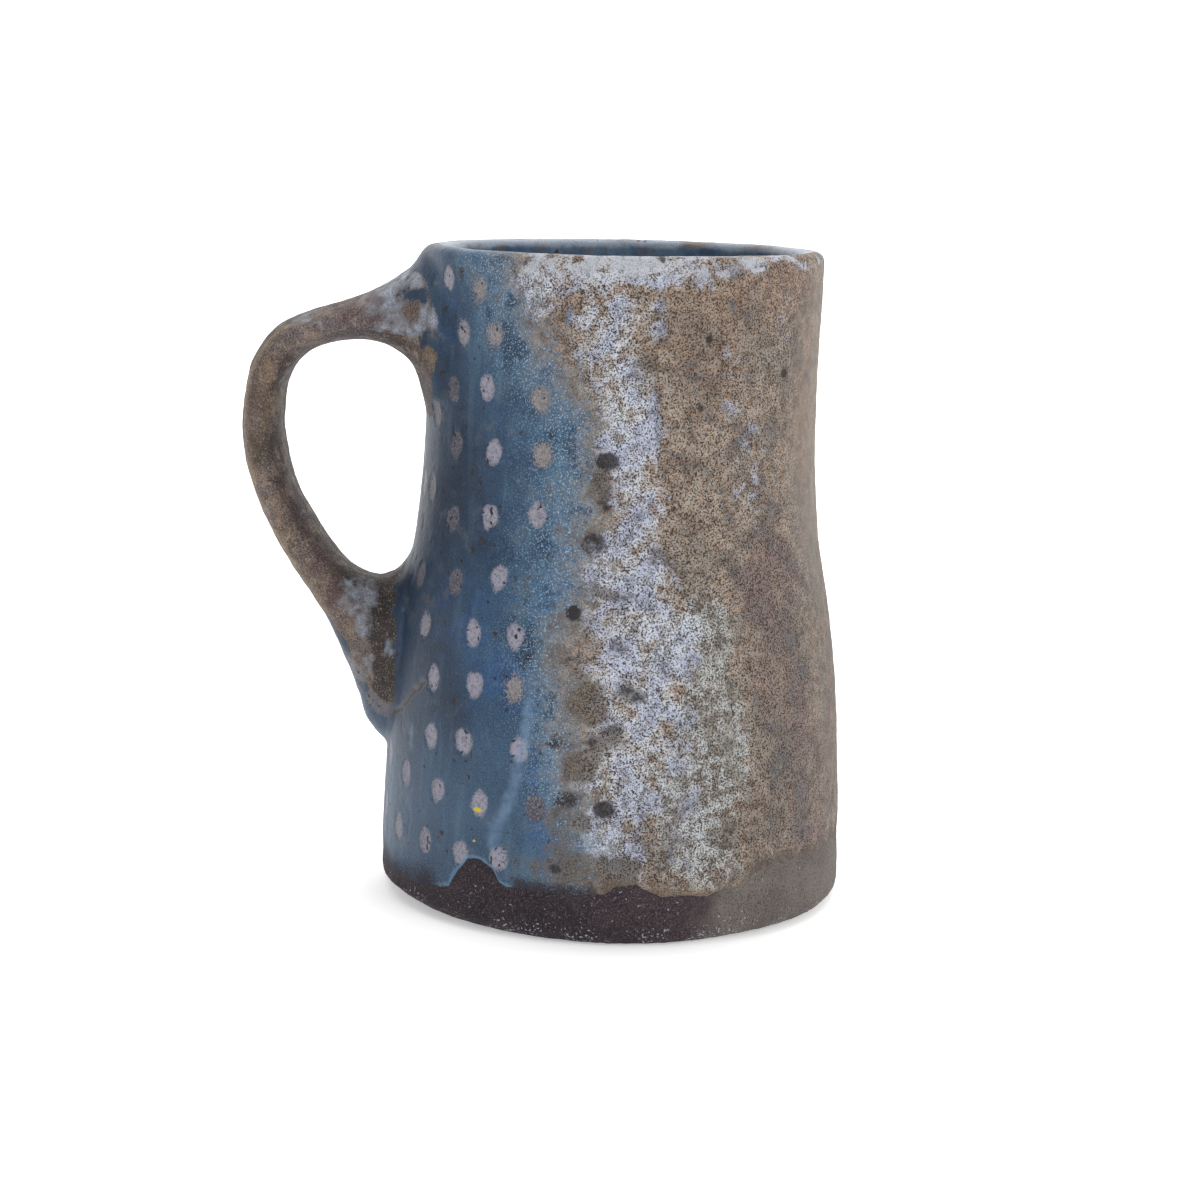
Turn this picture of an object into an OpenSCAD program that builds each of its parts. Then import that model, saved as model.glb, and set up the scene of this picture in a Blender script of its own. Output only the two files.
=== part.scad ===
// Hand-built stoneware mug: a floor disc, a tapering wall that stands on it, a coil
// pressed into the inside seam, a pulled strap handle on two flared roots, and the
// glaze coats as thin shells of their own.
// Millimetres. +Z is up, the origin is the middle of the foot, the handle is at -X.

/* [Body] */
// Height from the foot to the top of the lip
mug_h = 110; // [95:1:130]
// Outside diameter at the foot, before its edge is rounded
foot_d = 80; // [75:0.5:86]
// Outside diameter of the belly, low on the body
belly_d = 76.8; // [72:0.2:82]
// Outside diameter at the shoulder, where the body draws in
shoulder_d = 72.8; // [68:0.2:78]
// Outside diameter of the neck, just above the shoulder
neck_d = 68.2; // [64:0.2:74]
// Outside diameter of the waist, the narrowest place
waist_d = 66; // [60:0.2:70]
// Outside diameter of the lip
rim_d = 66.8; // [60:0.2:72]
// Thickness of the clay wall
wall_t = 3.2; // [2.4:0.1:4.4]
// Thickness of the floor disc
floor_t = 5.5; // [4.5:0.1:8]
// Radius of the rounded bottom edge
foot_round = 3.5; // [1.5:0.1:4.2]
// Radius of the coil that fills the inside seam
seam_r = 5; // [3:0.5:8]

/* [Handle] */
// How far the strap stands out beyond the waist
handle_reach = 31; // [26:0.5:36]
// Width of the strap
strap_w = 19; // [15:0.5:22]

/* [Glaze] */
// Thickness of each glaze coat
glaze_t = 0.5; // [0.3:0.05:0.8]
// Height above the foot at which the outside glaze stops
glaze_line = 9; // [8.5:0.5:14]
// Arc of the wall that the blue glaze covers, centred on the handle
blue_arc = 152; // [120:2:200]

/* [Hidden] */
$fn = 96;

// The handle's table is drawn for a body of this height, reach and strap width.
nominal_h = 110;
nominal_reach = 31;
nominal_w = 19;

// ---- Body profile ----

// The glazed body's outline as [height, radius], joined by a smooth curve.
OUTLINE = [
    [0, foot_d / 2],
    [0.30 * mug_h, belly_d / 2],
    [0.455 * mug_h, shoulder_d / 2],
    [0.573 * mug_h, neck_d / 2],
    [0.736 * mug_h, waist_d / 2],
    [mug_h, rim_d / 2]
];
LAST = len(OUTLINE) - 1;

function chord(i, j) = (OUTLINE[j][1] - OUTLINE[i][1]) / (OUTLINE[j][0] - OUTLINE[i][0]);
function slope(i) = chord(max(i - 1, 0), min(i + 1, LAST));
function stretch(z, i = 0) = (i >= LAST - 1 || z <= OUTLINE[i + 1][0]) ? i : stretch(z, i + 1);

// Cubic from a to b over a step of h, with slopes ma and mb at its ends.
function cubic(a, b, ma, mb, h, u) =
    a * (1 + 2 * u) * (1 - u) * (1 - u) + b * u * u * (3 - 2 * u)
    + h * (ma * u * (1 - u) * (1 - u) - mb * u * u * (1 - u));

// Radii at a height: outside of the glaze, then the clay's outer and inner faces.
function glaze_r(z) =
    let (i = stretch(z), h = OUTLINE[i + 1][0] - OUTLINE[i][0])
    cubic(OUTLINE[i][1], OUTLINE[i + 1][1], slope(i), slope(i + 1), h, (z - OUTLINE[i][0]) / h);
function clay_r(z) = glaze_r(z) - glaze_t;
function bore_r(z) = clay_r(z) - wall_t;

// The lip is a half round of clay with the glaze carried over it.
lip_z = mug_h - glaze_t - wall_t / 2;
lip_r = clay_r(lip_z) - wall_t / 2;
LIP_STEP = 15;
RINGS = 20;

// Heights up one face of the wall, from a start level to the lip.
function rise(from) = [for (i = [0 : RINGS]) from + (lip_z - from) * i / RINGS];
function reversed(list) = [for (i = [len(list) - 1 : -1 : 0]) list[i]];
function arc(r, z, radius, from, to, step) =
    [for (a = [from : step : to]) [r + radius * cos(a), z + radius * sin(a)]];
function lip(radius, from, to, step = LIP_STEP) = arc(lip_r, lip_z, radius, from, to, step);

seam_top = floor_t + seam_r;
seam_axis = bore_r(seam_top) - seam_r;
OUTER_FACE = [for (z = rise(glaze_line)) [clay_r(z), z]];
INNER_FACE = [for (z = rise(seam_top)) [bore_r(z), z]];

// ---- Clay ----

module body_floor() {
    foot_r = clay_r(foot_round) - foot_round;
    color("dimgray")
        rotate_extrude()
            polygon(concat(
                [[0, 0]],
                arc(foot_r, foot_round, foot_round, -90, 0, 10),
                [[clay_r(floor_t), floor_t], [0, floor_t]]
            ));
}

module body_wall() {
    color("rosybrown")
        rotate_extrude()
            polygon(concat(
                [[clay_r(floor_t), floor_t]],
                OUTER_FACE,
                lip(wall_t / 2, LIP_STEP, 180 - LIP_STEP),
                reversed(INNER_FACE),
                [[bore_r(floor_t), floor_t]]
            ));
}

module seam_coil() {
    color("tan")
        rotate_extrude()
            polygon(concat(
                [[bore_r(floor_t), floor_t]],
                arc(seam_axis, seam_top, seam_r, 0, -90, -10)
            ));
}

// The whole clay body without its hollow, which the roots are pressed against.
module clay_mass() {
    rotate_extrude()
        polygon(concat(
            [[0, floor_t], [clay_r(floor_t), floor_t]],
            OUTER_FACE,
            lip(wall_t / 2, LIP_STEP, 90),
            [[0, lip_z + wall_t / 2]]
        ));
}

// ---- Handle ----

// Stations down the handle, from inside the wall at the lip to inside the wall low on
// the belly: the outer edge's reach beyond the waist and its height, the same two for
// the inner edge, and half the width there.
STATIONS = [
    [-6.6, 109.0, -6.6, 80.5, 17.0],
    [-2.6, 109.2, -2.0, 81.8, 15.6],
    [0.0, 108.9, 0.0, 84.6, 13.4],
    [2.6, 106.3, 2.0, 88.6, 11.6],
    [5.8, 103.7, 5.0, 91.3, 10.4],
    [9.8, 101.4, 9.0, 92.7, 9.8],
    [14.6, 99.6, 13.4, 92.6, 9.5],
    [20.4, 97.8, 17.8, 91.4, 9.5],
    [25.4, 95.2, 21.0, 89.0, 9.5],
    [29.3, 89.4, 23.1, 85.4, 9.5],
    [31.0, 81.0, 23.8, 80.6, 9.5],
    [30.5, 73.8, 23.4, 74.8, 9.5],
    [28.4, 66.2, 21.6, 68.4, 9.4],
    [24.8, 58.6, 18.6, 63.0, 9.2],
    [20.6, 52.0, 15.0, 57.6, 9.0],
    [16.7, 46.0, 12.0, 54.6, 8.8],
    [13.7, 39.4, 8.4, 53.2, 8.8],
    [11.1, 33.0, 5.4, 53.8, 9.2],
    [9.2, 27.6, 2.9, 55.9, 10.0],
    [6.2, 24.8, 1.1, 59.0, 11.0],
    [1.6, 23.2, -1.6, 62.4, 12.0]
];
// The strap runs between these two stations and the roots lie beyond them.
STRAP_TOP = 5;
STRAP_END = 14;
HANDLE_END = len(STATIONS) - 1;
RING_STEP = 0.5;
SIDES = 28;
// Exponent of the oval section: 2 is an ellipse and more is squarer.
FULLNESS = 2.3;

// Smooth curve through the stations, for a place t that may lie between two of them.
function station(i) = STATIONS[max(0, min(HANDLE_END, i))];
function along(t) =
    let (
        i = min(floor(t), HANDLE_END - 1), u = t - i,
        p = station(i), q = station(i + 1),
        mp = (q - station(i - 1)) / 2, mq = (station(i + 2) - p) / 2
    )
    cubic(p, q, mp, mq, 1, u);

function handle_x(reach) = -(waist_d / 2 + reach * handle_reach / nominal_reach);
function handle_z(z) = z * mug_h / nominal_h;
function power(value, exponent) = sign(value) * pow(abs(value), exponent);

// One oval section, flat in the plane of its two edges.
function section(t) =
    let (
        s = along(t),
        outer = [handle_x(s[0]), 0, handle_z(s[1])],
        inner = [handle_x(s[2]), 0, handle_z(s[3])],
        middle = (outer + inner) / 2, half = (outer - inner) / 2,
        side = [0, s[4] * strap_w / nominal_w, 0]
    )
    [for (k = [0 : SIDES - 1])
        let (a = 360 * k / SIDES)
        middle + half * power(cos(a), 2 / FULLNESS) + side * power(sin(a), 2 / FULLNESS)];

// Solid through the sections between two stations, closed by flat ends.
module loft(from, to) {
    rings = [for (t = [from : RING_STEP : to]) section(t)];
    top = (len(rings) - 1) * SIDES;
    polyhedron(
        points = [for (ring = rings) each ring],
        faces = concat(
            [[for (k = [0 : SIDES - 1]) k]],
            [for (r = [0 : len(rings) - 2]) for (k = [0 : SIDES - 1]) for (half = [0, 1])
                let (
                    a = r * SIDES + k, b = r * SIDES + (k + 1) % SIDES,
                    c = a + SIDES, d = b + SIDES
                )
                half == 0 ? [a, c, b] : [b, c, d]],
            [[for (k = [SIDES - 1 : -1 : 0]) top + k]]
        )
    );
}

module handle_upper_root() {
    color("slategray")
        difference() {
            loft(0, STRAP_TOP);
            clay_mass();
        }
}

module handle_strap() {
    color("rosybrown")
        loft(STRAP_TOP, STRAP_END);
}

module handle_lower_root() {
    color("gray")
        difference() {
            loft(STRAP_END, HANDLE_END);
            clay_mass();
        }
}

// ---- Glaze ----

module liner_glaze() {
    color("lightsteelblue")
        rotate_extrude()
            polygon(concat(
                [[0, floor_t]],
                arc(seam_axis, seam_top, seam_r, -90, -10, 10),
                INNER_FACE,
                lip(wall_t / 2, 180 - LIP_STEP, 90, -LIP_STEP),
                lip(wall_t / 2 + glaze_t, 90, 180 - LIP_STEP),
                [for (p = reversed(INNER_FACE)) p - [glaze_t, 0]],
                arc(seam_axis, seam_top, seam_r - glaze_t, -10, -90, -10),
                [[0, floor_t + glaze_t]]
            ));
}

// The outside coat over part of the way round, from the glaze line to the top of the lip.
module outer_coat(start, sweep) {
    rotate(start)
        rotate_extrude(angle = sweep)
            polygon(concat(
                [for (p = OUTER_FACE) p + [glaze_t, 0]],
                lip(wall_t / 2 + glaze_t, LIP_STEP, 90),
                lip(wall_t / 2, 90, LIP_STEP, -LIP_STEP),
                reversed(OUTER_FACE)
            ));
}

// The blue coat is open where the two roots are set on the clay.
module outer_glaze_blue() {
    color("steelblue")
        difference() {
            outer_coat(180 - blue_arc / 2, blue_arc);
            loft(0, STRAP_TOP);
            loft(STRAP_END, HANDLE_END);
        }
}

module outer_glaze_ash() {
    color("silver")
        outer_coat(180 + blue_arc / 2, 360 - blue_arc);
}

body_floor();
body_wall();
seam_coil();
handle_upper_root();
handle_strap();
handle_lower_root();
liner_glaze();
outer_glaze_blue();
outer_glaze_ash();
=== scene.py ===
"""Looks of the hand-built stoneware mug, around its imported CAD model.

Lengths are millimetres until a mesh is made, and metres from there on. The body is drawn
in azimuth and height: the handle is at 180 degrees and the camera looks from -90. Every
surface of the body comes from one path of radii and heights, bent by the same sway, so
that the clay, the liner and the two outside coats keep touching one another. The glaze's
regions are drawn once, as soft masks in azimuth and height, and every glazed piece carries
them as vertex attributes, so that its colours run on across the joins.
"""

import itertools
import math

import bpy
import numpy as np
from mathutils import Matrix, Vector


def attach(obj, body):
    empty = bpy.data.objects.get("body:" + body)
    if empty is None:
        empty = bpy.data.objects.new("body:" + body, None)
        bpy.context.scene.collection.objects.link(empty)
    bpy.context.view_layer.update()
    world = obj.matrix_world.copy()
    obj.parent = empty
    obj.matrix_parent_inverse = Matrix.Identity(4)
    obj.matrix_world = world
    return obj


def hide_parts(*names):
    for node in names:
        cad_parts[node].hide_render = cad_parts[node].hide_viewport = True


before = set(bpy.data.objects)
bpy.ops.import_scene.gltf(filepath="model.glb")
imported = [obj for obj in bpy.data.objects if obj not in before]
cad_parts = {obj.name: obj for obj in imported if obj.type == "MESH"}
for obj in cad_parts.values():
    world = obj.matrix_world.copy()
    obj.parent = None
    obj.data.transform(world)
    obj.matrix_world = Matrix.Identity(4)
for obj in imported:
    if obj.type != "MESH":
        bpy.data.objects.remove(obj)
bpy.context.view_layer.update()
MM = 0.001

# ---- Sizes, as in part.scad ----

MUG_H = 110.0
WALL = 3.2
GLAZE = 0.5
FLOOR = 5.5
FOOT_ROUND = 3.5
SEAM_R = 5.0
OUTLINE = np.array([
    (0, 40.0), (33, 38.4), (50.05, 36.4), (63.03, 34.1), (80.96, 33.0), (110, 33.4),
])
WAIST_R = 33.0
WIDEST = 39.55

# The handle from the lip to the belly: outer edge's reach beyond the waist and height,
# inner edge's reach and height, and half the width.
STATIONS = np.array([
    (-6.6, 109.0, -6.6, 80.5, 17.0),
    (-2.6, 109.2, -2.0, 81.8, 15.6),
    (0.0, 108.9, 0.0, 84.6, 13.4),
    (2.6, 106.3, 2.0, 88.6, 11.6),
    (5.8, 103.7, 5.0, 91.3, 10.4),
    (9.8, 101.4, 9.0, 92.7, 9.8),
    (14.6, 99.6, 13.4, 92.6, 9.5),
    (20.4, 97.8, 17.8, 91.4, 9.5),
    (25.4, 95.2, 21.0, 89.0, 9.5),
    (29.3, 89.4, 23.1, 85.4, 9.5),
    (31.0, 81.0, 23.8, 80.6, 9.5),
    (30.5, 73.8, 23.4, 74.8, 9.5),
    (28.4, 66.2, 21.6, 68.4, 9.4),
    (24.8, 58.6, 18.6, 63.0, 9.2),
    (20.6, 52.0, 15.0, 57.6, 9.0),
    (16.7, 46.0, 12.0, 54.6, 8.8),
    (13.7, 39.4, 8.4, 53.2, 8.8),
    (11.1, 33.0, 5.4, 53.8, 9.2),
    (9.2, 27.6, 2.9, 55.9, 10.0),
    (6.2, 24.8, 1.1, 59.0, 11.0),
    (1.6, 23.2, -1.6, 62.4, 12.0),
])
STRAP_TOP, STRAP_END = 5, 14

# The blue coat spans this many degrees either side of the handle.
BLUE_HALF = 76
# Columns of the grids round the body.
COLUMNS = 720
# Level of the outside coat's lowest row before it is moved to the glaze line, how far up that
# move is felt, and how far the coat's back lies inside the clay.
COAT_BASE = 8.0
SHIFT_REACH = 22.0
COAT_SINK = 0.05
# The same for the clay's own hidden surface, and the height below which the clay is fine.
CLAY_SINK = 0.04
CLAY_TOP = 15.0
# Radius of the small hole in the middle of each disc's grid, which a fan of faces closes.
HOLE_R = 0.4
# Radii at which noise is looked up, on the body and by the foot.
NOISE_R = 36.0
FOOT_R = 38.0
# The body's mean radius for the size of spots, and millimetres to a degree for drawn lines.
MEAN_R = 35.0
DEGREE = 0.67
# Distances from dots and lines are not followed beyond this.
FAR = 9.0

# ---- Where the glaze's marks are: azimuth in degrees and height in millimetres ----

# Edge between the blue and the ash glaze, camera side.
BLUE_EDGE = np.array([
    (10, -98), (16, -93), (24, -101), (37, -103), (48, -106), (56, -101), (65, -102),
    (75, -99), (84, -101), (95, -115), (103, -119), (108, -127),
])
# The outside glaze's lower edge, all the way round.
GLAZE_LINE = np.array([
    (-180, 4.5), (-156, 3.2), (-145, 4.0), (-138, 5.2), (-132, 6.6), (-129, 10.0),
    (-126, 12.0), (-122, 12.3), (-119, 11.2), (-117, 9.2), (-115, 8.5), (-102, 8.4),
    (-92, 8.6), (-88, 10.3), (-84, 10.6), (-79, 8.6), (-68, 8.0), (-57, 9.2),
    (-41, 9.0), (-23, 8.8), (-5, 9.6), (12, 8.0), (24, 8.8), (31, 11.6), (37, 11.2),
    (42, 8.6), (60, 7.4), (78, 8.8), (92, 7.2), (104, 8.2), (118, 9.4), (126, 12.8),
    (133, 12.4), (139, 8.4), (152, 6.0), (166, 5.2), (180, 4.5),
])
# Resist dots: azimuth, height, and tone from 0 for lilac to 1 for tan; over 1 is dark.
DOTS = np.array([
    (-149, 105, 0.3), (-134, 104, 0.9), (-141, 96.4, 0.5), (-128, 96.6, 0.7),
    (-146, 86.7, 1.5), (-131, 87.8, 0.0), (-113, 86.8, 1.0), (-157, 82.3, 1.25),
    (-144, 78, 1.5), (-128, 77.7, 0.0), (-112, 77.8, 1.0), (-158, 70, 1.25),
    (-143, 65.9, 1.5), (-128, 67.2, 0.0), (-113, 68.3, 0.3), (-157, 55.4, 1.3),
    (-138, 55.9, 1.5), (-123, 57.9, 0.1), (-149, 47.8, 0.5), (-129, 48.4, 0.1),
    (-116, 49.0, 0.2), (-142, 39.9, 0.3), (-127, 40.4, 0.2), (-115, 40.7, 0.9),
    (-141, 30.5, 0.2), (-129, 31.0, 0.0), (-113, 31.1, 0.0), (-152, 22.7, 0.3),
    (-137, 22.0, 0.2), (-123, 21.5, 0.1), (-108, 22.0, 1.4), (-155, 13.2, 0.4),
    (-141, 12.9, 0.3), (-128, 12.7, 0.2), (-117, 13.1, 0.2), (-168, 15, 0.4),
    (-166, 24, 0.3), (-176, 20, 0.3), (-167, 70, 0.5), (-178, 66, 0.6),
    (-172, 75, 0.5), (-167.5, 32.4, 1.2), (-171, 37.8, 1.0),
])
# Half a dot's width and height.
DOT_W, DOT_H = 1.65, 2.15
# Spots in the glaze: azimuth, height, half width, half height, and depth of colour.
SPOTS = np.array([
    (-94, 77.4, 2.3, 1.5, 1.0), (-101, 53.6, 1.3, 1.2, 1.0), (-92, 22.8, 1.8, 1.6, 0.9),
    (-103, 12.5, 1.1, 1.0, 1.0), (-86, 41, 3.0, 2.0, 0.6), (-97, 64, 2.6, 2.2, 0.5),
    (-73, 61, 2.8, 1.8, 0.3), (-61, 17, 2.4, 2.6, 0.3), (-62, 8.8, 2.6, 2.0, 0.3),
    (-142, 106, 1.0, 1.4, 0.8), (-157, 30.6, 1.8, 1.2, 0.5), (-80, 109.5, 0.7, 0.9, 1.0),
    (-100, 33, 4.0, 2.0, 0.5),
    (-66, 97, 0.8, 0.8, 0.9), (-68, 86, 0.7, 0.8, 0.8), (-38, 91, 0.9, 0.8, 0.9),
    (-112, 46, 0.8, 0.8, 0.9), (-95, 70, 2.2, 1.4, 0.5), (-99, 24, 4.5, 1.8, 0.5),
])
# A dark scar by the lower root and a pale run of glaze, from one azimuth and height to the
# next, and how far each wanders to either side.
SCAR = ((-164, 31.0), (-158, 32.6), (-153, 35.2), (-146, 38.8))
SCAR_WANDER = 0.7
RUN = ((-110.5, 38.5), (-112.5, 29.5), (-115, 22.3), (-119, 15.5))
RUN_WANDER = 0.5
# Yellow flecks, written like the spots.
FLECKS = np.array([(-123.6, 20.4, 0.9, 0.45, 1.0), (-124, 15.3, 0.4, 0.4, 0.8)])
# Soft patches of each region: azimuth, height, half width in degrees, half height, strength.
PATCHES = {
    "white": (
        (-94, 108.4, 23, 3.2, 1.0), (-86, 109, 16, 1.6, 1.0), (-114, 105, 8, 5, 1.0),
        (-93, 99, 6, 8, 0.75),
        (-66, 107, 8, 3, 0.35), (-84, 100, 5, 5, 0.5),
        (-90, 89, 8, 8, 0.9), (-88, 80, 10, 8, 0.95), (-84, 70, 10, 6, 0.7),
        (-88, 60, 13, 7, 0.9), (-82, 50, 15, 7, 0.9), (-75, 51, 7, 4, 0.9),
        (-85, 40, 14, 7, 0.95), (-87, 29, 12, 8, 0.95), (-93, 19, 9, 6, 0.8),
        (-72, 24, 7, 13, 0.35), (-88, 13, 8, 4, 0.6), (-60, 109.4, 30, 0.9, 0.8),
        (-100, 98, 4, 8, 0.8), (-52, 76, 5, 10, 0.3), (-58, 90, 4, 7, 0.25),
        (-64, 80, 5, 6, 0.15), (-28, 109.4, 24, 0.7, 0.35), (-40, 100, 5, 8, 0.2),
        (82, 90, 12, 14, 0.85), (76, 62, 14, 12, 0.9), (84, 36, 16, 14, 0.95),
        (60, 100, 16, 5, 0.7), (92, 14, 16, 6, 0.8), (48, 30, 9, 16, 0.5),
        (20, 104, 12, 5, 0.4), (8, 60, 7, 14, 0.25),
    ),
    "panel": (
        (-68, 49, 10, 9, 0.95), (-66, 33, 13, 11, 1.0), (-69, 21, 12, 12, 1.0),
        (-63, 11, 8, 4, 0.7), (58, 50, 10, 16, 0.8), (64, 24, 12, 12, 0.9),
    ),
    "purple": (
        (-44, 56, 13, 15, 1.0), (-42, 38, 13, 10, 1.0), (-36, 22, 17, 14, 0.85),
        (-12, 30, 14, 22, 0.6), (-25, 8, 40, 5, 0.6), (20, 40, 14, 22, 0.7),
        (38, 16, 16, 10, 0.7), (2, 84, 10, 14, 0.35),
    ),
    "tan": (
        (-141, 109, 15, 2.2, 1.0), (-108, 103, 8, 8, 0.6), (-66, 100, 18, 8, 0.8),
        (-40, 104, 22, 6, 0.8), (-66, 90, 8, 8, 0.5), (-22, 84, 16, 12, 0.5),
        (-69, 11.2, 9, 3.0, 0.7), (40, 92, 18, 10, 0.8), (30, 70, 12, 10, 0.5),
        (-18, 60, 10, 14, 0.5), (112, 106, 20, 5, 0.7), (54, 10, 14, 2.4, 0.9),
    ),
    "soil": (
        (-100, 12, 9, 4.5, 1.0), (-89, 12, 7, 3.2, 1.0), (-100, 20, 6, 4, 0.8),
        (-97, 30, 6, 3, 1.0), (-97, 40, 7, 4, 1.0), (-91, 33, 5, 3, 0.8),
        (-76, 64, 7, 3, 0.35), (-60, 17, 4, 4, 0.45), (-62, 9.5, 5, 2.5, 0.4),
        (-94, 57, 5, 3, 0.5), (-96, 74, 5, 4, 0.7), (-75, 20, 3, 6, 0.4),
        (-98, 66, 5, 4, 0.35), (-84, 92, 4, 4, 0.5), (70, 46, 8, 4, 0.7),
        (96, 28, 7, 5, 0.7), (86, 76, 7, 4, 0.7), (60, 12, 12, 3, 0.7),
    ),
    "calm": (
        (-14, 80, 20, 34, 1.0), (-10, 40, 20, 30, 0.8), (20, 60, 16, 40, 0.7),
    ),
    "streak": (
        (-149, 29, 1.4, 3, 0.5), (-104, 100, 1.0, 5, 0.7), (-102, 93, 1.0, 4, 0.6),
        (128, 30, 2, 12, 0.9), (122, 66, 2, 9, 0.8),
    ),
    "bright": (
        (-104, 66, 4, 5, 1.0), (-106, 55, 4, 6, 1.0), (-107, 27, 5, 7, 0.9),
        (-104, 82, 4, 6, 0.9), (-118, 42, 12, 6, 0.6), (-110, 40, 6, 4, 0.7),
        (-138, 50, 14, 7, 0.8), (-106, 17, 5, 3, 0.8), (-148, 99, 5, 6, 0.7),
        (118, 54, 8, 10, 0.8), (112, 84, 6, 8, 0.8), (-160, 40, 8, 6, 0.6),
    ),
}
# The same on the handle: millimetres out from the axis, height, half width, half height.
HANDLE_PATCHES = {
    "pale": (
        (37.4, 101.4, 3.4, 3.2, 1.0), (40.9, 98.6, 3.5, 3.5, 0.6), (37.0, 95.8, 5.0, 2.0, 0.7),
        # (31.6, 98.2) is a painted highlight on the upper root.
        (35.2, 103.2, 3.0, 1.6, 0.9), (31.6, 98.2, 2.4, 2.6, 1.0), (52, 97, 4, 1.6, 0.35),
        (43.2, 50, 3.6, 3.4, 0.6), (42.4, 46, 1.8, 2.4, 0.7), (43.0, 40, 2.2, 5.0, 0.4),
        (37.4, 42.7, 0.9, 1.8, 0.9),
    ),
    "dark": (
        (38.8, 44.7, 3.6, 9.4, 1.0), (38.2, 36.0, 2.6, 3.0, 0.9), (32.9, 94.8, 1.1, 0.9, 0.9),
        # (38, 90.6) is a painted shadow under the upper root.
        (38, 90.6, 5, 1.4, 0.6), (59.5, 76, 3.0, 5.0, 0.4),
    ),
    "russet": (
        (40.7, 100.4, 1.7, 1.3, 0.9), (41.4, 97.0, 2.3, 1.3, 0.9), (35.1, 99.2, 1.6, 1.7, 0.5),
        (45.6, 98.4, 2.2, 2.4, 0.8), (47, 50.7, 2.2, 3.0, 0.8), (56, 91, 3, 3, 0.4),
        (50, 56.5, 2.5, 3.5, 0.6), (60, 84, 2.5, 5, 0.5),
    ),
    "gold": (
        (59, 83, 2.0, 7, 0.5), (60.5, 73, 1.8, 6, 0.4), (31.6, 91.0, 2.0, 2.2, 0.5),
        (56, 62, 1.8, 5, 0.35), (44.6, 38, 1.2, 4, 0.5),
    ),
}


# ---- Curves, noise and masks in numpy ----

def smooth(value, low, high):
    """0 at low, 1 at high, level beyond them and an S curve between; low may be the greater."""
    u = np.clip((value - low) / (high - low), 0, 1)
    return u * u * (3 - 2 * u)


def plateau(value, start, full, last, end):
    """0 up to start, 1 from full to last, and 0 again from end on."""
    return smooth(value, start, full) * smooth(value, end, last)


def signed_power(value, power):
    """A power that keeps the value's sign."""
    return np.sign(value) * np.abs(value) ** power


def cubic(a, b, slope_a, slope_b, step, u):
    """Cubic from a to b over a step, with the given slopes at its ends."""
    return (a * (1 + 2 * u) * (1 - u) ** 2 + b * u * u * (3 - 2 * u)
            + step * (slope_a * u * (1 - u) ** 2 - slope_b * u * u * (1 - u)))


def outline(z):
    """Radius of the glazed body at a height."""
    knots, radii = OUTLINE.T
    last = len(knots) - 1
    ends = np.arange(last + 1)
    before, after = np.maximum(ends - 1, 0), np.minimum(ends + 1, last)
    slopes = (radii[after] - radii[before]) / (knots[after] - knots[before])
    i = np.clip(np.searchsorted(knots, z) - 1, 0, last - 1)
    step = knots[i + 1] - knots[i]
    return cubic(radii[i], radii[i + 1], slopes[i], slopes[i + 1], step, (z - knots[i]) / step)


def lumps(points, size, seed):
    """Smooth noise from -1 to 1 at points (n, 3), with lumps about size across."""
    table = np.random.default_rng(seed).uniform(-1, 1, (64, 64, 64))
    q = np.asarray(points) / size + 100
    cell = np.floor(q).astype(int)
    u = q - cell
    u = u * u * (3 - 2 * u)
    total = np.zeros(q.shape[:-1])
    for corner in itertools.product((0, 1), repeat=3):
        weight = np.prod(np.where(corner, u, 1 - u), axis=-1)
        x, y, z = np.moveaxis((cell + corner) % 64, -1, 0)
        total += weight * table[x, y, z]
    return total


def polar(azimuth, r, z):
    """Points from azimuth in degrees, radius and height."""
    a = np.radians(azimuth)
    return np.stack(np.broadcast_arrays(r * np.cos(a), r * np.sin(a), z), axis=-1)


def round_to(azimuth, centre):
    """Difference of two azimuths, from -180 to 180."""
    return (azimuth - centre + 180) % 360 - 180


def glaze_line(azimuth):
    """Height of the outside glaze's lower edge."""
    a = round_to(azimuth, 0)
    p = polar(a, FOOT_R, 0.0)
    return np.interp(a, *GLAZE_LINE.T) + 0.25 * lumps(p, 2.2, 5) + 0.15 * lumps(p, 0.9, 6)


def from_blue_edge(azimuth, z):
    """Millimetres into the ash glaze from its edge with the blue, negative in the blue."""
    turn = round_to(azimuth, 180)
    near = np.interp(z, *BLUE_EDGE.T) + 180
    far = 72 + 6 * np.sin(z / 11.0) + 4 * np.sin(z / 4.3 + 1)
    return np.radians(np.maximum(turn - near, -turn - far)) * outline(z)


def all_dots():
    """The dots of the camera side, and ten jittered rows of five on the far side."""
    random = np.random.default_rng(11)
    rows = []
    for row, column in itertools.product(range(10), range(5)):
        azimuth = 112 + 15 * column + 7 * (row % 2) + random.uniform(-2.5, 2.5)
        height = 14 + 9.3 * row + random.uniform(-1.5, 1.5)
        rows.append((azimuth, height, random.choice([0, 0.2, 0.9, 1.5])))
    return np.vstack([DOTS, rows])


def dot_field(azimuth, z):
    """How far outside the nearest dot's outline, in millimetres, and that dot's tone."""
    nearest = np.full(np.shape(azimuth), FAR)
    tone = np.zeros(np.shape(azimuth))
    for dot_az, dot_z, dot_tone in all_dots():
        across = np.radians(round_to(azimuth, dot_az)) * outline(dot_z)
        away = (np.hypot(across / DOT_W, (z - dot_z) / DOT_H) - 1) * DOT_W
        tone = np.where(away < nearest, dot_tone, tone)
        nearest = np.minimum(nearest, away)
    return nearest, tone


def spot_field(azimuth, z, rows):
    """Strength of the spots in a list."""
    total = np.zeros(np.shape(azimuth))
    for spot_az, spot_z, half_w, half_h, depth in rows:
        across = np.radians(round_to(azimuth, spot_az)) * MEAN_R
        away = np.hypot(across / half_w, (z - spot_z) / half_h)
        total = np.maximum(total, depth * smooth(away, 1.35, 0.35))
    return total


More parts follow.
